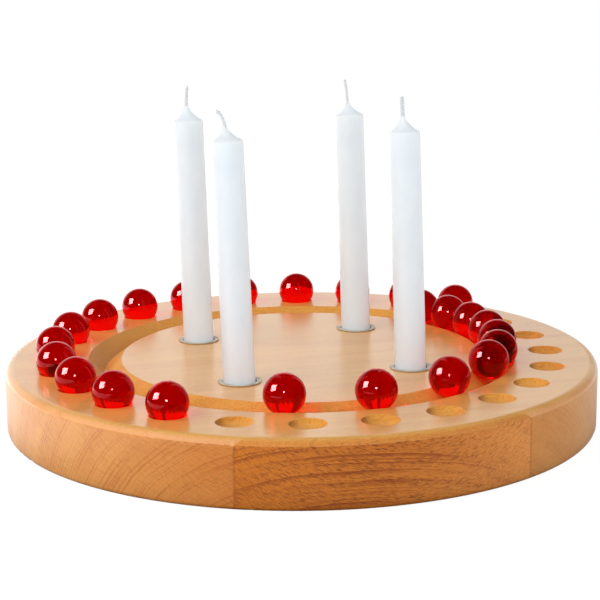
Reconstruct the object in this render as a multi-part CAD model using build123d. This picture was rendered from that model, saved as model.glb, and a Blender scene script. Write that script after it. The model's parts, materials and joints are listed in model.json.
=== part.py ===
from build123d import *
import os
from math import asin, atan2, cos, degrees, radians, sin, sqrt

# Advent candle holder: a turned beech disc with candle cups on a centre platform, a groove that
# marbles roll in round the platform, and a ring of dimples that the marbles are moved to.
# Sizes are in millimetres. The disc's axis is Z and its underside is z = 0. An angle is counted in
# degrees from the front (-Y) towards +X.

# Marbles
marble_diameter = 16.0
marble_seat_gap = 0.15

# Candles: tapered, with a conical tip, standing loose in their cups
candle_length = 105.0
candle_base_diameter = 12.5
candle_shoulder_diameter = 11.9
candle_tip_height = 4.3
candle_tip_land = 0.6
candle_shoulder_round = 2.0
candle_foot_round = 0.5
candle_play = 0.35
candle_foot_gap = 0.3
candle_angles = (-45.0, 45.0, 135.0, 225.0)
candle_leans = (1.88, 1.73, 1.65, 1.45)
lean_heading = -106.2

# Wicks: straight inside the wax, bent above it towards the lean or, below zero, away from it
wick_diameter = 1.9
wick_gap = 0.03
wick_free_lengths = (7.8, 9.7, 10.0, 9.7)
wick_bends = (43.0, 2.0, 10.6, -9.3)

# Candle cups: drawn from thin sheet, with a flange that lies on the wood
cup_sheet = 0.45
cup_depth = 8.2
cup_flange_width = 1.4
cup_lip_round = 0.3
cup_hole_gap = 0.1
cup_hole_floor_gap = 0.4

# Centre platform and groove
candle_circle_radius = 49.5
platform_margin = 15.55
groove_width = 13.5
groove_depth = 5.0

# Ring of dimples
dimple_count = 24
dimple_depth = 3.6
dimple_bowl_play = 0.6
band_inside_dimples = 6.35
band_outside_dimples = 12.65
edge_break = 0.4

# Disc and the staves of its panel, whose glue lines run along X
disc_height = 26.0
top_edge_round = 3.5
bottom_edge_round = 1.5
front_stave_depth = 13.6
middle_stave_width = 118.0

# Places of the marbles: a row of dimples, and the groove with a few marbles apart and then a train
first_filled_dimple = 8
filled_dimple_count = 14
lone_marble_angles = (-20.7, 3.8, 27.8)
train_start_angle = 49.6
train_gaps = (1.55, 1.55, 1.55, 0.36, 0.36, 0.36)

# Sizes that follow from the ones above
marble_radius = marble_diameter / 2
candle_base_radius = candle_base_diameter / 2
cup_bore_radius = candle_base_radius + candle_play
cup_outer_radius = cup_bore_radius + cup_sheet
cup_flange_radius = cup_outer_radius + cup_flange_width
platform_radius = candle_circle_radius + cup_flange_radius + platform_margin
groove_middle_radius = platform_radius + groove_width / 2
groove_outer_radius = platform_radius + groove_width
bowl_radius = marble_radius + dimple_bowl_play
dimple_mouth_radius = sqrt(2 * bowl_radius * dimple_depth - dimple_depth**2)
dimple_circle_radius = groove_outer_radius + band_inside_dimples + dimple_mouth_radius
disc_radius = dimple_circle_radius + dimple_mouth_radius + band_outside_dimples
dimple_step = 360 / dimple_count
cup_floor_height = disc_height + cup_sheet - cup_depth
candle_foot_height = cup_floor_height + candle_foot_gap
groove_flank_angle = atan2(groove_depth, groove_width / 2)


def place(radius, angle, height):
    """Point at a radius from the disc's axis and an angle from the front."""
    return (radius * sin(radians(angle)), -radius * cos(radians(angle)), height)


def corner(outline, x, y):
    """The corner of a flat outline that lies at x, y."""
    return outline.vertices().sort_by_distance((x, y, 0))[0]


def turned(outline):
    """Solid turned about Z from an outline drawn as radius and height."""
    return revolve(Plane.XZ * outline, Axis.Z)


def turned_disc():
    """The disc with its rounded edges and the V-shaped groove round the platform."""
    outline = make_face(
        Polyline(
            (0, 0),
            (disc_radius, 0),
            (disc_radius, disc_height),
            (groove_outer_radius, disc_height),
            (groove_middle_radius, disc_height - groove_depth),
            (platform_radius, disc_height),
            (0, disc_height),
            close=True,
        )
    )
    outline = fillet(corner(outline, disc_radius, 0), bottom_edge_round)
    outline = fillet(corner(outline, disc_radius, disc_height), top_edge_round)
    outline = fillet(corner(outline, groove_outer_radius, disc_height), edge_break)
    outline = fillet(corner(outline, platform_radius, disc_height), edge_break)
    return turned(outline)


def dimple_cutter():
    """Ball-nosed cutter for one dimple, its bowl's lowest point at the origin."""
    return Pos(0, 0, bowl_radius) * Sphere(bowl_radius)


def cut_dimples(disc):
    """The disc with its ring of dimples, the mouth of each one lightly rounded."""
    for index in range(dimple_count):
        bottom = place(dimple_circle_radius, index * dimple_step, disc_height - dimple_depth)
        disc = disc - Pos(*bottom) * dimple_cutter()
    mouths = disc.edges().filter_by(GeomType.CIRCLE).filter_by(
        lambda edge: abs(edge.radius - dimple_mouth_radius) < edge_break / 10
    )
    return fillet(mouths, edge_break)


def cut_cup_holes(disc):
    """The disc with a blind hole for each candle cup."""
    floor = cup_floor_height - cup_sheet - cup_hole_floor_gap
    hole = Cylinder(
        cup_outer_radius + cup_hole_gap,
        disc_height - floor,
        align=(Align.CENTER, Align.CENTER, Align.MIN),
    )
    for angle in candle_angles:
        disc = disc - Pos(*place(candle_circle_radius, angle, floor)) * hole
    return disc


def stave(disc, front, back):
    """The part of the disc between two glue lines, given as places along Y."""
    slab = Pos(0, (front + back) / 2, disc_height / 2) * Box(
        2 * disc_radius + disc_height, back - front, 2 * disc_height
    )
    return disc & slab


def candle_cup():
    """Cup with a flat floor and a flange, its flange's underside at z = 0."""
    floor = cup_sheet - cup_depth
    outline = make_face(
        Polyline(
            (0, floor - cup_sheet),
            (cup_outer_radius, floor - cup_sheet),
            (cup_outer_radius, 0),
            (cup_flange_radius, 0),
            (cup_flange_radius, cup_sheet),
            (cup_bore_radius, cup_sheet),
            (cup_bore_radius, floor),
            (0, floor),
            close=True,
        )
    )
    outline = fillet(corner(outline, cup_bore_radius, cup_sheet), cup_lip_round)
    return turned(outline)


def candle():
    """Candle with its wick channel, its foot at z = 0."""
    channel = wick_diameter / 2 + wick_gap
    shoulder_height = candle_length - candle_tip_height
    shoulder_radius = candle_shoulder_diameter / 2
    outline = make_face(
        Polyline(
            (channel, 0),
            (candle_base_radius, 0),
            (shoulder_radius, shoulder_height),
            (channel + candle_tip_land, candle_length),
            (channel, candle_length),
            close=True,
        )
    )
    outline = fillet(corner(outline, candle_base_radius, 0), candle_foot_round)
    outline = fillet(corner(outline, shoulder_radius, shoulder_height), candle_shoulder_round)
    return turned(outline)


def wick(free_length, bend):
    """Wick of a candle that stands at z = 0: straight in the wax, then an arc along X."""
    turn = radians(bend)
    bend_radius = free_length / turn
    exit_point = (0, 0, candle_length)
    tip = (bend_radius * (1 - cos(turn)), 0, candle_length + bend_radius * sin(turn))
    route = Line((0, 0, 0), exit_point) + TangentArc(exit_point, tip, tangent=(0, 0, 1))
    return sweep(Circle(wick_diameter / 2), path=route)


def candle_seat(angle, lean):
    """Frame of a candle in its cup: Z runs up the leaning candle, X lies towards the lean."""
    seat_depth = disc_height + cup_sheet - candle_foot_height
    heading = Vector(*place(1, lean_heading, 0))
    up = Vector(0, 0, 1)
    axis = up * cos(radians(lean)) + heading * sin(radians(lean))
    side = heading * cos(radians(lean)) - up * sin(radians(lean))
    middle = Vector(*place(candle_circle_radius, angle, candle_foot_height + seat_depth / 2))
    return Plane(origin=middle - axis * (seat_depth / 2), x_dir=side, z_dir=axis)


def dimple_marble(index):
    """Marble in the dimple that is counted from the front."""
    height = disc_height - dimple_depth + marble_seat_gap + marble_radius
    return Pos(*place(dimple_circle_radius, index * dimple_step, height)) * Sphere(marble_radius)


def groove_marble(angle):
    """Marble between the flanks of the groove."""
    over_crease = (marble_radius + marble_seat_gap) / cos(groove_flank_angle)
    height = disc_height - groove_depth + over_crease
    return Pos(*place(groove_middle_radius, angle, height)) * Sphere(marble_radius)


def groove_marble_angles():
    """Angles of the lone marbles, then of the train, where a gap sets each next one."""
    angles = list(lone_marble_angles) + [train_start_angle]
    for gap in train_gaps:
        half_chord = (marble_diameter + gap) / 2
        angles.append(angles[-1] + 2 * degrees(asin(half_chord / groove_middle_radius)))
    return angles


nodes = {}

disc = cut_cup_holes(cut_dimples(turned_disc()))
front_glue_line = front_stave_depth - disc_radius
back_glue_line = front_glue_line + middle_stave_width
nodes["base_stave_front"] = stave(disc, -disc_radius - disc_height, front_glue_line)
nodes["base_stave_middle"] = stave(disc, front_glue_line, back_glue_line)
nodes["base_stave_back"] = stave(disc, back_glue_line, disc_radius + disc_height)

for number, angle in enumerate(candle_angles, 1):
    seat = candle_seat(angle, candle_leans[number - 1])
    nodes[f"candle_cup_{number}"] = Pos(*place(candle_circle_radius, angle, disc_height)) * candle_cup()
    nodes[f"candle_{number}"] = seat * candle()
    nodes[f"wick_{number}"] = seat * wick(wick_free_lengths[number - 1], wick_bends[number - 1])

for number in range(1, filled_dimple_count + 1):
    nodes[f"dimple_marble_{number:02d}"] = dimple_marble(first_filled_dimple + number - 1)

for number, angle in enumerate(groove_marble_angles(), 1):
    nodes[f"groove_marble_{number:02d}"] = groove_marble(angle)

os.makedirs("parts", exist_ok=True)
for name, solid in nodes.items():
    export_step(solid, f"parts/{name}.step")

print(f"disc diameter {2 * disc_radius:.2f}, dimple circle radius {dimple_circle_radius:.2f}")
print(f"groove middle radius {groove_middle_radius:.2f}")
print("groove marbles at", [round(angle, 2) for angle in groove_marble_angles()])
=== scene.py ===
import json
from math import cos, pi, radians, sin
from random import Random

import bmesh
import bpy
from mathutils import Matrix, Vector, noise

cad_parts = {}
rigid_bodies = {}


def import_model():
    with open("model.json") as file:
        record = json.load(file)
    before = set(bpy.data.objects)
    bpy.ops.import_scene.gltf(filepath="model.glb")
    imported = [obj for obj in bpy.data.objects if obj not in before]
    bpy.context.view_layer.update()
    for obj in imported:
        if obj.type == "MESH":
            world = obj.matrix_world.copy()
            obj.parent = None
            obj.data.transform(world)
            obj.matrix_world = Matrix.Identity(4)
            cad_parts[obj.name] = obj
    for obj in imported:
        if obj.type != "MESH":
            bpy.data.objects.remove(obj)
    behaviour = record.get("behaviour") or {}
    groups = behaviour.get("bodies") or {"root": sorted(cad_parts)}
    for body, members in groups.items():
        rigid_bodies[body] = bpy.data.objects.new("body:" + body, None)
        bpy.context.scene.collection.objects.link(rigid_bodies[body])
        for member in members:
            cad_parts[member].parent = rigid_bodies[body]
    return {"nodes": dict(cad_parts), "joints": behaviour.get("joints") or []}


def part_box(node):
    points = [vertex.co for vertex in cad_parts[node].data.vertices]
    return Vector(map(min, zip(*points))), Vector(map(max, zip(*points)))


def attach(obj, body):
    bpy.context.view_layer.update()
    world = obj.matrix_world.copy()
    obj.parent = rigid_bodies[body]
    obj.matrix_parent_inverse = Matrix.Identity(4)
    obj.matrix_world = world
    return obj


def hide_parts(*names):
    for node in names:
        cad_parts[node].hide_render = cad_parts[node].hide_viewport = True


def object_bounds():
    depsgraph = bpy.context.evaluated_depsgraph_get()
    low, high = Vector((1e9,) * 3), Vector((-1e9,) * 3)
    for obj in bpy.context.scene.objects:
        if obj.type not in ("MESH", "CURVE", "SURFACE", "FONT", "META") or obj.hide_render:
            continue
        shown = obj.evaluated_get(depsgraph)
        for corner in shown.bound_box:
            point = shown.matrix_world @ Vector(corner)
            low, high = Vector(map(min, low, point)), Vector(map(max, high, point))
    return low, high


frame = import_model()
cad_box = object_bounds()
scene = bpy.context.scene
mm = 0.001

# Base staves: three boards of steamed beech, edge-glued into one panel and turned to a disc.
# The fibres run along X in all three, and each board was cut at its own distance from the heart
# of its tree, so the growth rings bend differently in each. The turned wood is sanded and oiled.


class Shade:
    """A socket of a material's node tree. Arithmetic on values adds Math nodes to the tree."""

    def __init__(self, tree, socket=None):
        self.tree = tree
        self.socket = socket

    def node(self, kind, settings=None, sockets=None, output=0):
        """A new node: its settings come first, then the values or links of its sockets."""
        made = self.tree.nodes.new(kind)
        for name, value in (settings or {}).items():
            setattr(made, name, value)
        for key, value in (sockets or {}).items():
            if isinstance(value, Shade):
                self.tree.links.new(value.socket, made.inputs[key])
            else:
                made.inputs[key].default_value = value
        return Shade(self.tree, made.outputs[output])

    def feed(self, shader, key):
        """Links this socket to a socket of the shader."""
        self.tree.links.new(self.socket, shader.inputs[key])

    def math(self, operation, first, second=0.0):
        return self.node("ShaderNodeMath", {"operation": operation}, {0: first, 1: second})

    def __add__(self, other):
        return self.math("ADD", self, other)

    def __sub__(self, other):
        return self.math("SUBTRACT", self, other)

    def __rsub__(self, other):
        return self.math("SUBTRACT", other, self)

    def __mul__(self, other):
        return self.math("MULTIPLY", self, other)

    def __truediv__(self, other):
        return self.math("DIVIDE", self, other)

    def __pow__(self, other):
        return self.math("POWER", self, other)

    def __abs__(self):
        return self.math("ABSOLUTE", self)

    __radd__ = __add__
    __rmul__ = __mul__


def rise(value, low, high):
    """A mask that goes smoothly from 0 at the low value to 1 at the high one."""
    settings = {"interpolation_type": "SMOOTHSTEP"}
    return value.node("ShaderNodeMapRange", settings, {"Value": value, "From Min": low, "From Max": high})


def blend(mask, start, end):
    """A colour between two colours, by a mask."""
    return mask.node("ShaderNodeMix", {"data_type": "RGBA"}, {0: mask, 6: start, 7: end}, 2)


def cloud(place, steps, detail=2.0, rough=0.5):
    """Noise around 0.5 whose grains have the given sizes along X, Y and Z, in the units of place."""
    counts = tuple(1 / step for step in steps)
    spread = place.node("ShaderNodeVectorMath", {"operation": "MULTIPLY"}, {0: place, 1: counts})
    sockets = {"Vector": spread, "Scale": 1.0, "Detail": detail, "Roughness": rough}
    return place.node("ShaderNodeTexNoise", {}, sockets)


def bands(value):
    """Noise around 0.5 that changes along one number only, in grains of about 1."""
    return value.node("ShaderNodeTexNoise", {"noise_dimensions": "1D"}, {"W": value, "Scale": 1.0})


def relief(height, strength, depth, shader):
    """Feeds a shader's normal with the bumps of a height mask."""
    sockets = {"Height": height, "Strength": strength, "Distance": depth}
    height.node("ShaderNodeBump", {}, sockets).feed(shader, "Normal")


def parts(place):
    """The three numbers of a place."""
    return [place.node("ShaderNodeSeparateXYZ", {}, {0: place}, axis) for axis in "XYZ"]


def joined(*numbers):
    """A place made of three numbers."""
    return numbers[0].node("ShaderNodeCombineXYZ", {}, dict(enumerate(numbers)))


def paint(red, green, blue):
    """A shader colour from display steps of 0 to 255."""
    steps = [step / 255 for step in (red, green, blue)]
    linear = [((s + 0.055) / 1.055) ** 2.4 if s > 0.04045 else s / 12.92 for s in steps]
    return (*linear, 1.0)


def new_material(name):
    """A node material, its shader and the start of its node tree."""
    material = bpy.data.materials.new(name)
    material.use_nodes = True
    return material, material.node_tree.nodes["Principled BSDF"], Shade(material.node_tree)


def beech(name, heart, fibre_rise, ring_gap, ring_depth, ray_depth, painted_light, sides, edges, glue_lines):
    """Oiled beech, solid through the board, with sizes in millimetres.

    heart is the tree's middle in Y and Z. The argument after ray_depth is painted light and shade: a place
    along the rim, its reach and the pale and deep tones that the rim is painted with there. sides and edges
    are the tones of the upright rim and of the round above it.
    """
    pale, deep = sides
    edge_pale, edge_deep = edges
    painted_light_middle, painted_light_reach, painted_light_pale, painted_light_deep = painted_light
    calm_end = 60 * mm
    band_end = 112 * mm
    edge_start = 114 * mm
    top_pale = paint(242, 180, 92)
    top_deep = paint(222, 151, 68)
    cut_pale = paint(246, 174, 74)
    cut_deep = paint(206, 116, 30)
    dark = paint(122, 54, 4)
    material, shader, wood = new_material(name)
    place = wood.node("ShaderNodeTexCoord", output="Object")
    board = wood.node(
        "ShaderNodeMapping",
        {},
        {
            "Vector": place,
            "Scale": (1 / mm,) * 3,
            "Rotation": (0.0, radians(-fibre_rise), 0.0),
            "Location": (0.0, -heart[0], -heart[1]),
        },
    )
    along, across, up = parts(board)
    sway = cloud(board, (110, 60, 60), 1.0)
    waver = cloud(board, (24, 7, 7))
    radius = (across * across + up * up) ** 0.5 + (sway - 0.5) * 5 + (waver - 0.5) * 1.2
    round_heart = wood.math("ARCTAN2", across, up) * 90 + (sway - 0.5) * 6
    log = joined(along, radius, round_heart)

    ring = wood.math("FRACT", radius / ring_gap + bands(radius / 5) * 2.5)
    late_wood = rise(ring, 0.3, 0.9) * (1 - rise(ring, 0.9, 1.0)) * rise(cloud(log, (60, 4, 30)), 0.3, 0.7)

    ray_bands = rise(cloud(log, (40, 2.2, 14)), 0.32, 0.62)
    rays = 0.0
    for length, width, share in ((4.0, 0.38, 1.0), (2.5, 0.28, 0.8)):
        cells = joined(along / length, radius / 12, round_heart / width)
        distance = wood.node("ShaderNodeTexVoronoi", {}, {"Vector": cells, "Scale": 1.0})
        rays = rays + (1 - rise(distance, 0.14, 0.42)) * share
    rays = wood.math("MINIMUM", rays * (0.3 + ray_bands * 0.7), 1.0)

    fibre = cloud(board, (12, 0.4, 0.4), 3.0, 0.6)
    pores = rise(cloud(board, (1.2, 0.22, 0.22), 1.0), 0.5, 0.75)
    tone = cloud(log, (130, 9, 26), 3.0)

    facing = parts(wood.node("ShaderNodeNewGeometry", output="Normal"))
    end_grain = rise(abs(facing[0]), 0.6, 1.0)
    upright = 1 - rise(facing[2], 0.2, 0.34)
    level_face = rise(facing[2], 0.6, 1.0)

    side, deep_place = parts(place)[:2]
    right_end = rise(side, 0.0, calm_end)
    late_wood = late_wood * (1 - right_end * 0.6)
    rays = rays * (1 - right_end * 0.35)
    sloped = (1 - upright) * (1 - level_face)
    shade = (tone - 0.5) * (1.3 - upright * 0.5) + (fibre - 0.5) * (sloped + 1)
    shade = shade + late_wood * (upright * 0.7 + 0.3) * ring_depth
    shade = rise(shade + pores * (0.3 + sloped * 0.6) + 0.22, 0.0, 1.0)
    from_axis = (side * side + deep_place * deep_place) ** 0.5
    outer = rise(from_axis, band_end, edge_start)
    cut_colour = blend(shade, cut_pale, cut_deep)
    # Painted shade: sloped walls of the groove and dimples that face +X, away from the softbox, are darkened
    # towards the dark tone.
    painted_shade_walls = rise(facing[0], 0.1, 0.6) * (1 - upright) * (1 - outer)
    cut_colour = blend(painted_shade_walls * 0.6, cut_colour, dark)
    # The round above the rim takes paler tones than the upright rim: partly its own sanded tone, partly
    # painted light where the round faces up.
    edge_colour = blend(outer, cut_colour, blend(shade, edge_pale, edge_deep))
    colour = blend(level_face, edge_colour, blend(shade, top_pale, top_deep))
    # Painted light and shade: the upright rim turns to other tones around a place along it, paler where more
    # light should fall, deeper where less.
    painted_light_mask = 1 - rise(abs(side / mm - painted_light_middle), 0.0, painted_light_reach)
    side_colour = blend(painted_light_mask, blend(shade, pale, deep), blend(shade, painted_light_pale, painted_light_deep))
    colour = blend(upright, colour, side_colour)
    colour = blend(rays * (ray_depth * (0.25 + upright * 0.75)), colour, dark)
    for line in glue_lines:
        seam = 1 - rise(abs(deep_place / mm - line), 0.1, 0.35)
        colour = blend(seam * upright * 0.25, colour, dark)
    colour.feed(shader, "Base Color")

    (0.5 + (fibre - 0.5) * 0.2 + end_grain * 0.08 + pores * 0.1 - rays * 0.05).feed(shader, "Roughness")
    relief(fibre * 0.6 - pores * 0.8 + late_wood * 0.2, 0.2, 0.04 * mm, shader)
    (outer * (1 - upright * 0.5) + (1 - outer) * rise(facing[2], 0.85, 0.98)).feed(shader, "Coat Weight")
    shader.inputs["Specular IOR Level"].default_value = 0.3
    shader.inputs["Coat Roughness"].default_value = 0.25
    shader.inputs["Coat IOR"].default_value = 1.6
    return material


front_glue_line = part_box("base_stave_middle")[0].y / mm
back_glue_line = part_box("base_stave_middle")[1].y / mm
stave_finishes = {
    "base_stave_front": beech(
        "beech_front",
        heart=(-165, -55),
        fibre_rise=5,
        ring_gap=1.9,
        ring_depth=0.5,
        ray_depth=0.75,
        # Painted light: the front rim is painted paler towards its right end.
        painted_light=(70, 80, paint(248, 164, 78), paint(210, 112, 42)),
        sides=(paint(220, 126, 26), paint(160, 70, 4)),
        edges=(paint(238, 156, 66), paint(216, 128, 50)),
        glue_lines=[front_glue_line],
    ),
    "base_stave_middle": beech(
        "beech_middle",
        heart=(-150, -37),
        fibre_rise=0,
        ring_gap=1.25,
        ring_depth=0.55,
        ray_depth=0.35,
        # Painted shade: the middle stave's rim is painted deeper near the front seam.
        painted_light=(-14, 115, paint(220, 124, 32), paint(190, 92, 16)),
        sides=(paint(228, 160, 84), paint(204, 124, 56)),
        edges=(paint(250, 182, 116), paint(238, 156, 92)),
        glue_lines=[front_glue_line, back_glue_line],
    ),
    "base_stave_back": beech(
        "beech_back",
        heart=(40, -95),
        fibre_rise=-2,
        ring_gap=1.6,
        ring_depth=0.45,
        ray_depth=0.35,
        # Painted shade, slight: the back rim is painted a little deeper around its middle.
        painted_light=(0, 60, paint(226, 148, 56), paint(200, 116, 34)),
        sides=(paint(230, 152, 58), paint(204, 118, 36)),
        edges=(paint(240, 168, 76), paint(222, 140, 54)),
        glue_lines=[back_glue_line],
    ),
}
for node_name, finish in stave_finishes.items():
    stave = frame["nodes"][node_name]
    stave.data.materials.clear()
    stave.data.materials.append(finish)

# Candle cups: drawn from thin tinned sheet, with a flat floor and a narrow flange whose edge is
# rolled under. Each is pushed into a blind hole in the platform until its flange lies on the wood.


def lathe(name, outline, sides, place):
    """A mesh turned about its own Z from an outline of radius and height, put at a place in the frame."""
    body = bmesh.new()
    rings = []
    for radius, height in outline:
        if radius == 0:
            rings.append([body.verts.new((0, 0, height))] * sides)
            continue
        turns = [2 * pi * side / sides for side in range(sides)]
        rings.append([body.verts.new((radius * cos(t), radius * sin(t), height)) for t in turns])
    for low, high in zip(rings, rings[1:]):
        for side in range(sides):
            after = (side + 1) % sides
            corners = list(dict.fromkeys((low[side], low[after], high[after], high[side])))
            body.faces.new(corners)
    bmesh.ops.recalc_face_normals(body, faces=body.faces)
    mesh = bpy.data.meshes.new(name)
    body.to_mesh(mesh)
    body.free()
    mesh.shade_smooth()
    piece = bpy.data.objects.new(name, mesh)
    piece.matrix_world = place
    scene.collection.objects.link(piece)
    return piece


def arc(middle, radius, start, end, steps):
    """Points of an outline along an arc, from one angle to another in degrees."""
    turns = [radians(start + (end - start) * step / steps) for step in range(steps + 1)]
    return [(middle[0] + radius * cos(t), middle[1] + radius * sin(t)) for t in turns]


def tinned_sheet():
    """Drawn and tinned steel: fine rings from the drawing punch, dull patches, faint scratches."""
    material, shader, metal = new_material("tinned_sheet")
    place = metal.node("ShaderNodeTexCoord", output="Object")
    side, deep = parts(place)[:2]
    punch_ring_gap = 0.12 * mm
    punch_rings = bands((side * side + deep * deep) ** 0.5 / punch_ring_gap)
    patches = cloud(place, (3 * mm,) * 3, 3.0)
    scratches = rise(cloud(place, (4 * mm, 0.15 * mm, 0.15 * mm), 2.0), 0.6, 0.7)
    tarnish = rise(patches, 0.45, 0.75)
    blend(tarnish * 0.6, paint(216, 207, 188), paint(168, 158, 136)).feed(shader, "Base Color")
    (0.34 + (punch_rings - 0.5) * 0.12 + tarnish * 0.14 + scratches * 0.1).feed(shader, "Roughness")
    relief(punch_rings * 0.5 + patches * 0.6 - scratches * 0.4, 0.2, 0.04 * mm, shader)
    shader.inputs["Metallic"].default_value = 0.5
    return material


candle_numbers = range(1, 5)
lathe_sides = 96
cup_sheet = 0.45 * mm
cup_flange_width = 1.4 * mm
cup_floor_round = 0.6 * mm
cup_lip_round = 0.35 * mm
cup_finish = tinned_sheet()
cup_middles = {}
cup_tops = {}
cup_floors = {}
for number in candle_numbers:
    low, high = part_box(f"candle_cup_{number}")
    flange_radius = (high.x - low.x) / 2
    wood_level = high.z - cup_sheet
    wall_radius = flange_radius - cup_flange_width
    bore_radius = wall_radius - cup_sheet
    floor = low.z + cup_sheet
    outline = [(0, floor), (bore_radius - 3 * cup_floor_round, floor)]
    outline += arc((bore_radius - cup_floor_round, floor + cup_floor_round), cup_floor_round, -90, 0, 5)
    outline += arc((bore_radius + cup_lip_round, high.z - cup_lip_round), cup_lip_round, 180, 90, 6)
    outline += arc((flange_radius - cup_sheet / 2, wood_level + cup_sheet / 2), cup_sheet / 2, 90, -90, 8)
    outline += [(wall_radius, wood_level), (wall_radius, low.z + cup_floor_round)]
    outline += arc((wall_radius - cup_floor_round, low.z + cup_floor_round), cup_floor_round, 0, -90, 5)
    outline += [(0, low.z)]
    middle = (low + high) / 2
    cup = lathe(f"cup_{number}", outline, lathe_sides, Matrix.Translation((middle.x, middle.y, 0)))
    cup.data.materials.append(cup_finish)
    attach(cup, "base")
    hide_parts(f"candle_cup_{number}")
    cup_middles[number] = Vector((middle.x, middle.y, 0))
    cup_tops[number] = high.z
    cup_floors[number] = floor

# Candles: pressed from white paraffin wax, slightly tapered, with a conical tip whose wax runs up
# the wick. They stand loose in their cups and lean a little, each by its own angle.


def paraffin():
    """White wax that lets some light in, with faint pressing marks and a soft bloom."""
    material, shader, wax = new_material("paraffin_wax")
    place = wax.node("ShaderNodeTexCoord", output="Object")
    bloom = cloud(place, (7 * mm, 7 * mm, 16 * mm), 3.0)
    marks = cloud(place, (1.2 * mm, 1.2 * mm, 14 * mm), 2.0)
    blend(rise(bloom, 0.3, 0.75) * 0.6, paint(233, 239, 244), paint(225, 232, 238)).feed(shader, "Base Color")
    (0.38 + (bloom - 0.5) * 0.16 + (marks - 0.5) * 0.1).feed(shader, "Roughness")
    relief(bloom * 0.7 + marks * 0.3, 0.15, 0.1 * mm, shader)
    shader.inputs["Subsurface Weight"].default_value = 1.0
    shader.inputs["Subsurface Radius"].default_value = (1.0, 1.0, 1.0)
    shader.inputs["Subsurface Scale"].default_value = 3 * mm
    shader.inputs["IOR"].default_value = 1.43
    return material


candle_length = 105 * mm
candle_foot_radius = 6.25 * mm
candle_shoulder_radius = 5.95 * mm
candle_tip_height = 4.3 * mm
candle_shoulder_round = 0.9 * mm
candle_foot_round = 0.5 * mm
candle_foot_gap = 0.3 * mm
wick_half_width = 0.95 * mm
shoulder_lifts = {1: 0.0, 2: 0.4 * mm, 3: -0.55 * mm, 4: -0.15 * mm}
wax_collar_heights = {1: 0.7 * mm, 2: 2.5 * mm, 3: 0.4 * mm, 4: 2.1 * mm}
tip_offset = 0.6 * mm
waver_length = 9 * mm
waver_depth = 0.025 * mm
waver_shift = 7.3
cone_hollow = Vector((-3.5 * mm, 1.75 * mm))
taper_steps = 60
cone_steps = 24
wax_finish = paraffin()


def candle_outline(number):
    """Foot, taper with a faint waver, rounded shoulder and a hollow cone of wax that runs up the wick."""
    shoulder_height = candle_length - candle_tip_height + shoulder_lifts[number]
    tip_height = candle_length + wax_collar_heights[number]
    points = [(0, 0), (candle_foot_radius - 2 * candle_foot_round, 0)]
    points += arc((candle_foot_radius - candle_foot_round, candle_foot_round), candle_foot_round, -90, 0, 5)
    for step in range(1, taper_steps):
        share = step / taper_steps
        height = candle_foot_round + share * (shoulder_height - candle_shoulder_round - candle_foot_round)
        radius = candle_foot_radius + share * (candle_shoulder_radius - candle_foot_radius)
        waver = noise.noise(Vector((number * waver_shift, 0, height / waver_length))) * waver_depth
        points.append((radius + waver, height))
    round_radius = candle_shoulder_radius - candle_shoulder_round
    round_middle = (round_radius, shoulder_height - candle_shoulder_round / 2)
    points += arc(round_middle, candle_shoulder_round, 5, 60, 8)
    start = Vector(points[-1])
    bend = start + cone_hollow
    end = Vector((0.8 * wick_half_width, tip_height))
    for step in range(1, cone_steps + 1):
        share = step / cone_steps
        points.append(tuple(start * (1 - share) ** 2 + bend * 2 * share * (1 - share) + end * share**2))
    points.append((0, tip_height))
    return points


def tip_shift(height):
    """How far the tip has sagged towards the lean at a height above the candle's foot."""
    share = (height - candle_length + candle_tip_height) / candle_tip_height
    return tip_offset * min(max(share, 0.0), 1.0)


joint_axes = {joint["name"]: Vector(joint["axis"]) for joint in frame["joints"]}
candle_places = {}
for number in candle_numbers:
    axis = joint_axes[f"candle_{number}_lift"].normalized()
    foot_level = cup_floors[number] + candle_foot_gap
    seat_depth = cup_tops[number] - foot_level
    seat_middle = cup_middles[number] + Vector((0, 0, foot_level + seat_depth / 2))
    lean_side = Vector((axis.x, axis.y, 0)).normalized()
    side = (lean_side - axis * lean_side.dot(axis)).normalized()
    columns = Matrix((side, axis.cross(side), axis)).transposed().to_4x4()
    candle_places[number] = Matrix.Translation(seat_middle - axis * (seat_depth / 2)) @ columns
    candle = lathe(f"wax_{number}", candle_outline(number), lathe_sides, candle_places[number])
    for corner in candle.data.vertices:
        corner.co.x += tip_shift(corner.co.z)
    candle.data.materials.append(wax_finish)
    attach(candle, f"candle_{number}")
    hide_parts(f"candle_{number}")

# Wicks: flat braids of three cotton strands, cast into the candle from end to end. The free end
# is bent a little, by hand or in the packet, each by its own angle.


def tube(body, route, radius, sides):
    """Adds one closed strand to a mesh body, along a list of points."""
    rings = []
    for index, spot in enumerate(route):
        ahead = route[min(index + 1, len(route) - 1)] - route[max(index - 1, 0)]
        turn = ahead.to_track_quat("Z", "Y")
        ring = []
        for side in range(sides):
            angle = 2 * pi * side / sides
            offset = Vector((radius * cos(angle), radius * sin(angle), 0))
            ring.append(body.verts.new(spot + turn @ offset))
        rings.append(ring)
    for low, high in zip(rings, rings[1:]):
        for side in range(sides):
            after = (side + 1) % sides
            body.faces.new((low[side], low[after], high[after], high[side]))
    body.faces.new(reversed(rings[0]))
    body.faces.new(rings[-1])


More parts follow.
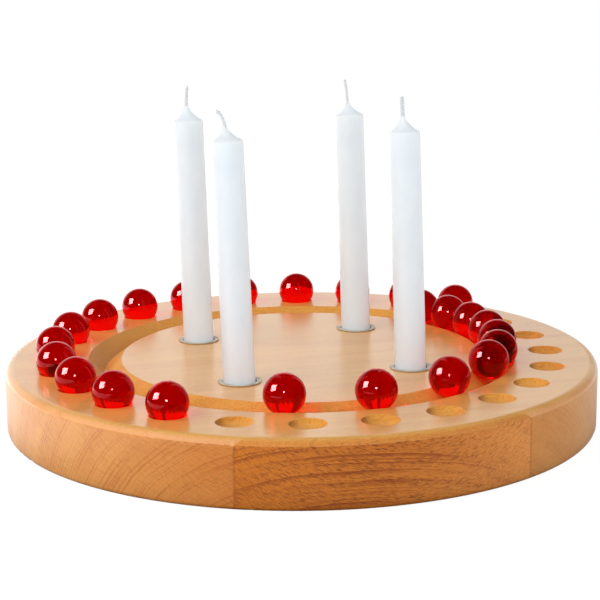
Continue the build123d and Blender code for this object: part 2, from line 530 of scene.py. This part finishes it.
def cotton():
    """Bleached cotton yarn: fine twisted fibres, with painted shade between them."""
    material, shader, yarn = new_material("wick_cotton")
    place = yarn.node("ShaderNodeTexCoord", output="Object")
    fibres = cloud(place, (0.09 * mm, 0.09 * mm, 0.7 * mm), 2.0)
    fuzz = cloud(place, (0.4 * mm,) * 3, 2.0)
    # Painted shade: the low parts of the fibre noise are grey, as shade between fibres.
    blend(rise(fibres, 0.3, 0.7), paint(206, 211, 214), paint(240, 243, 245)).feed(shader, "Base Color")
    (0.82 + (fuzz - 0.5) * 0.2).feed(shader, "Roughness")
    shader.inputs["Subsurface Weight"].default_value = 0.6
    shader.inputs["Subsurface Radius"].default_value = (1.0, 1.0, 1.0)
    shader.inputs["Subsurface Scale"].default_value = 0.8 * mm
    relief(fibres + fuzz * 0.5, 0.5, 0.05 * mm, shader)
    return material


wick_free_lengths = {1: 7.8 * mm, 2: 9.7 * mm, 3: 10.0 * mm, 4: 9.7 * mm}
wick_bends = {1: 43.0, 2: 2.0, 3: 10.6, 4: -9.3}
wick_flat_turns = {1: 75.0, 2: 5.0, 3: 80.0, 4: 70.0}
braid_pitch = 4.2 * mm
strand_radius = 0.4 * mm
braid_half_thickness = 0.22 * mm
braid_step = 0.3 * mm
strand_count = 3
strand_sides = 8
cotton_finish = cotton()


def wick_point(number, run, broad, thick):
    """A point of a wick by its run from the candle's foot and its offsets across the flat braid."""
    flat_turn = radians(wick_flat_turns[number])
    aside = broad * cos(flat_turn) - thick * sin(flat_turn)
    deep = broad * sin(flat_turn) + thick * cos(flat_turn)
    turn = radians(wick_bends[number])
    bend_radius = wick_free_lengths[number] / turn
    bent = max(run - candle_length, 0) / bend_radius
    middle = Vector((bend_radius * (1 - cos(bent)), 0, min(run, candle_length) + bend_radius * sin(bent)))
    middle.x += tip_shift(run)
    return middle + Vector((cos(bent) * aside, deep, -sin(bent) * aside))


for number in candle_numbers:
    body = bmesh.new()
    wick_length = candle_length + wick_free_lengths[number]
    reach = wick_half_width - strand_radius
    for strand in range(strand_count):
        route = []
        for step in range(int(wick_length / braid_step) + 1):
            run = step * braid_step
            phase = 2 * pi * (run / braid_pitch + strand / strand_count)
            route.append(wick_point(number, run, reach * sin(phase), braid_half_thickness * sin(2 * phase)))
        tube(body, route, strand_radius, strand_sides)
    mesh = bpy.data.meshes.new(f"braid_{number}")
    body.to_mesh(mesh)
    body.free()
    mesh.shade_smooth()
    braid = bpy.data.objects.new(f"braid_{number}", mesh)
    braid.matrix_world = candle_places[number]
    scene.collection.objects.link(braid)
    mesh.materials.append(cotton_finish)
    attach(braid, f"candle_{number}")
    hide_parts(f"wick_{number}")

# Marbles: rolled from clear red glass, loose in the dimples and in the groove. They are nearly round,
# with a faint pucker at each end where the gob of glass was cut off.


out_of_round = 0.0025
swell_count = 1.3
cut_mark_depth = 0.004
cut_mark_reach = 0.012


def marble_mesh():
    """A marble of radius 1: a fine ball, a little out of round, with a cut mark at each end."""
    body = bmesh.new()
    bmesh.ops.create_icosphere(body, subdivisions=6, radius=1.0)
    for corner in body.verts:
        way = corner.co.normalized()
        swell = out_of_round * noise.noise(way * swell_count)
        from_end = 1 - abs(way.z)
        pucker = cut_mark_depth * max(0.0, 1 - from_end / cut_mark_reach) ** 2
        corner.co = way * (1 + swell - pucker)
    mesh = bpy.data.meshes.new("marble")
    body.to_mesh(mesh)
    body.free()
    mesh.shade_smooth()
    return mesh


def red_glass():
    """Clear red glass, with faint streaks where the melt was stirred and a few handling marks."""
    material, shader, glass = new_material("red_glass")
    place = glass.node("ShaderNodeTexCoord", output="Object")
    streaks = cloud(place, (0.9, 0.9, 0.35), 2.0)
    smears = cloud(place, (0.5, 0.5, 0.5), 2.0)
    blend(rise(streaks, 0.35, 0.65), paint(186, 0, 8), paint(178, 0, 7)).feed(shader, "Base Color")
    (rise(smears, 0.6, 0.8) * 0.05 + 0.05).feed(shader, "Roughness")
    shader.inputs["Coat Weight"].default_value = 1.0
    shader.inputs["Coat IOR"].default_value = 1.2
    shader.inputs["Coat Tint"].default_value = (1.0, 0.04, 0.05, 1.0)
    shader.inputs["Coat Roughness"].default_value = 0.01
    shader.inputs["Transmission Weight"].default_value = 1.0
    shader.inputs["IOR"].default_value = 1.5
    return material


glass_finish = red_glass()
marble_form = marble_mesh()
marble_form.materials.append(glass_finish)
marble_turns = Random(24)
marble_nodes = [name for name in sorted(frame["nodes"]) if "marble" in name]
for node_name in marble_nodes:
    low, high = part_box(node_name)
    marble = bpy.data.objects.new(f"glass_{node_name}", marble_form)
    turn = Matrix.Rotation(marble_turns.uniform(0, 2 * pi), 4, "Z") @ Matrix.Rotation(
        marble_turns.uniform(0.3, 1.2), 4, "X"
    )
    size = (high.z - low.z) / 2
    marble.matrix_world = Matrix.Translation((low + high) / 2) @ turn @ Matrix.Scale(size, 4)
    scene.collection.objects.link(marble)
    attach(marble, node_name)
    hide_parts(node_name)

# Studio: a wide white sweep, a square softbox at the left, a small lamp near the camera, and a room
# that is dark behind the camera and overhead, so that the glass stays clear and deep. The wax and
# the wicks are lit by lamps of their own that cast no shadow, as white cards beside them would.

camera_azimuth = -16.2
camera_heading = -16.165
camera_place = Vector((-0.1904, -0.6555, 0.2009))
camera_pitch = -12.601
camera_roll = -0.459
camera_lens = 103.0
sensor_width = 36.0


def ray_kinds(light):
    """Masks of the rays that see the surroundings straight, through glass and in a reflection.

    The last mask is of the light that comes through glass onto wood and stains it.
    """
    names = (
        "Is Camera Ray",
        "Is Transmission Ray",
        "Is Glossy Ray",
        "Diffuse Depth",
        "Transmission Depth",
    )
    kinds = [light.node("ShaderNodeLightPath", output=name) for name in names]
    straight, through, glossy, scattered, passed = kinds
    unscattered = 1 - light.math("MINIMUM", scattered, 1.0)
    clear = 1 - light.math("MINIMUM", passed, 1.0) * 0.8
    return straight, through * unscattered, glossy * unscattered * clear, through * (1 - unscattered)


def reach_along(light, way, axis):
    """How far a way or place reaches along an axis."""
    dot = {"operation": "DOT_PRODUCT"}
    return light.node("ShaderNodeVectorMath", dot, {0: way, 1: axis}, "Value")


towards_camera = (sin(radians(camera_azimuth)), -cos(radians(camera_azimuth)), 0.0)
to_the_right = (cos(radians(camera_azimuth)), sin(radians(camera_azimuth)), 0.0)

floor_radius = 12.0
floor_gap = 0.02 * mm
floor_mesh = bpy.data.meshes.new("floor")
floor_body = bmesh.new()
bmesh.ops.create_circle(floor_body, cap_ends=True, radius=floor_radius, segments=96)
floor_body.to_mesh(floor_mesh)
floor_body.free()
floor_piece = bpy.data.objects.new("floor", floor_mesh)
floor_piece.location.z = cad_box[0][2] - floor_gap
scene.collection.objects.link(floor_piece)
floor_finish, floor_shader, floor_light = new_material("white_sweep")
floor_shader.inputs["Base Color"].default_value = (0.86, 0.86, 0.86, 1.0)
floor_shader.inputs["Roughness"].default_value = 0.9
floor_shader.inputs["Specular IOR Level"].default_value = 0.0
floor_place = floor_light.node("ShaderNodeTexCoord", output="Object")
floor_behind = 1 - rise(reach_along(floor_light, floor_place, towards_camera), -0.1, 0.15)
floor_straight, floor_through, floor_glossy = ray_kinds(floor_light)[:3]
floor_front_level = 0.8
floor_back_level = 1.0
floor_matt = Shade(floor_finish.node_tree, floor_shader.outputs[0])


def glow(strength):
    """A plain white glow of the floor."""
    return floor_light.node("ShaderNodeEmission", {}, {"Color": (1, 1, 1, 1), "Strength": strength})


def mix(mask, first, second):
    """A shader between two shaders, by a mask."""
    return first.node("ShaderNodeMixShader", {}, {0: mask, 1: first, 2: second})


floor_dark = glow(0.0)
floor_white = glow(1.1)
floor_bright = glow(1.7)
floor_mirrored = glow(2.2)
floor_level = floor_behind * (floor_back_level - floor_front_level) + floor_front_level
floor_side, floor_deep = parts(floor_place)[:2]
from_axis = (floor_side * floor_side + floor_deep * floor_deep) ** 0.5
disc_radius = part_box("base_stave_middle")[1].x
# Painted shade: the floor's glow that lights the object fades to dark under the disc and just beside it, in
# place of the disc's contact shadow.
beside_disc = rise(from_axis, disc_radius - 2 * mm, disc_radius + 12 * mm)
floor_mix = mix(floor_level * beside_disc, floor_dark, floor_white)
floor_aside = reach_along(floor_light, floor_place, to_the_right)
floor_left = 1 - rise(floor_aside, -0.16, -0.08)
floor_right = rise(floor_aside, 0.0, 0.1)
floor_shine = floor_light.math("MAXIMUM", floor_behind * (1 - floor_right * 0.6), floor_left)
floor_mix = mix(floor_glossy, floor_mix, mix(floor_shine, floor_dark, floor_mirrored))
floor_mix = mix(floor_through, floor_mix, floor_bright)
floor_mix = mix(floor_straight, floor_mix, mix(0.85, floor_matt, floor_white))
floor_mix.feed(floor_finish.node_tree.nodes["Material Output"], "Surface")
floor_mesh.materials.append(floor_finish)

world = bpy.data.worlds.new("studio")
scene.world = world
world.use_nodes = True
room = Shade(world.node_tree)
way = room.node("ShaderNodeTexCoord", output="Generated")
low_white = 1 - rise(parts(way)[2], 0.35, 0.6)
before = reach_along(room, way, towards_camera)
aside = reach_along(room, way, to_the_right)
right_hand = rise(aside, -0.3, 0.3)
far_left = 1 - rise(aside, -0.9, -0.3)
far_right = rise(aside, 0.3, 0.9)
behind_object = 1 - rise(before + right_hand * 0.2, -0.8, -0.45)
before_object = rise(before, 0.2, 0.9)
straight, through, glossy, stain = ray_kinds(room)
mirrored = low_white * behind_object * (1.2 - rise(aside, 0.0, 0.3) * 0.35) + 0.02
refracted = (1 - before_object * 0.8) * 1.7
ambient = low_white * (0.7 - before_object * 0.2 - far_left * 0.75 - far_right * 0.15) + 0.48
unseen = (1 - straight) * (1 - through) * (1 - glossy)
stained = stain * (right_hand * 3 + 0.5) + 1
level = straight + through * refracted + glossy * mirrored + unseen * ambient * stained
backdrop = world.node_tree.nodes["Background"]
backdrop.inputs["Color"].default_value = (1.0, 1.0, 1.0, 1.0)
level.feed(backdrop, "Strength")


def lamp(name, way, distance, size, watts, roll=0.0):
    """A square area lamp seen from the object along a way in the camera's own axes, aimed at the object."""
    data = bpy.data.lights.new(name, "AREA")
    data.shape = "SQUARE"
    data.size = size
    data.energy = watts
    piece = bpy.data.objects.new(name, data)
    direction = Matrix.Rotation(radians(camera_azimuth), 3, "Z") @ Vector(way).normalized()
    aim = direction.to_track_quat("Z", "Y").to_matrix().to_4x4() @ Matrix.Rotation(radians(roll), 4, "Z")
    piece.matrix_world = Matrix.Translation(direction * distance) @ aim
    scene.collection.objects.link(piece)
    return piece


softbox_way = (-0.79, -0.27, 0.55)
softbox_roll = 30.0
softbox = lamp("softbox", softbox_way, distance=1.3, size=1.4, watts=12.0, roll=softbox_roll)
softbox.visible_glossy = False
softbox_face = lamp("softbox_face", softbox_way, distance=1.29, size=0.62, watts=80.0, roll=softbox_roll)
softbox_face.visible_diffuse = False
softbox_face.visible_transmission = False
shiny_pieces = bpy.data.collections.new("shiny_pieces")
for piece in scene.collection.objects:
    if piece.name.startswith("glass"):
        shiny_pieces.objects.link(piece)
softbox_face.light_linking.receiver_collection = shiny_pieces
camera_lamp = lamp("camera_lamp", (-0.04, -0.9, 0.42), distance=1.2, size=0.16, watts=7.0)
camera_lamp.visible_transmission = False
camera_lamp.light_linking.receiver_collection = shiny_pieces
wax_pieces = bpy.data.collections.new("wax_pieces")
for number in candle_numbers:
    wax_pieces.objects.link(scene.collection.objects[f"wax_{number}"])
    wax_pieces.objects.link(scene.collection.objects[f"braid_{number}"])
wood_and_cups = bpy.data.collections.new("wood_and_cups")
for piece in scene.collection.objects:
    if piece.type == "MESH" and not piece.name.startswith(("wax", "braid")):
        wood_and_cups.objects.link(piece)
softbox.light_linking.receiver_collection = wood_and_cups
wax_softbox = lamp("wax_softbox", softbox_way, distance=2.6, size=2.8, watts=25.0, roll=softbox_roll)
wax_fill = lamp("wax_fill", (0.45, -0.9, 0.12), distance=2.6, size=1.2, watts=7.2)
wax_sky = lamp("wax_sky", (-0.35, -0.3, 1.0), distance=2.6, size=2.0, watts=13.0)
wax_sky.data.color = (1.08, 1.0, 0.93)
wax_bounce = lamp("wax_bounce", (0.0, -0.95, -0.3), distance=0.25, size=0.2, watts=0.1)
wax_bounce.data.color = (0.7, 1.25, 1.45)
for wax_lamp in (wax_softbox, wax_fill, wax_sky, wax_bounce):
    wax_lamp.data.use_shadow = False
    wax_lamp.visible_glossy = False
    wax_lamp.light_linking.receiver_collection = wax_pieces

camera_data = bpy.data.cameras.new("camera")
camera_data.lens = camera_lens
camera_data.sensor_width = sensor_width
camera = bpy.data.objects.new("camera", camera_data)
camera.matrix_world = (
    Matrix.Translation(camera_place)
    @ Matrix.Rotation(radians(camera_heading), 4, "Z")
    @ Matrix.Rotation(radians(90 + camera_pitch), 4, "X")
    @ Matrix.Rotation(radians(camera_roll), 4, "Z")
)
scene.collection.objects.link(camera)
scene.camera = camera
scene.view_settings.view_transform = "Standard"
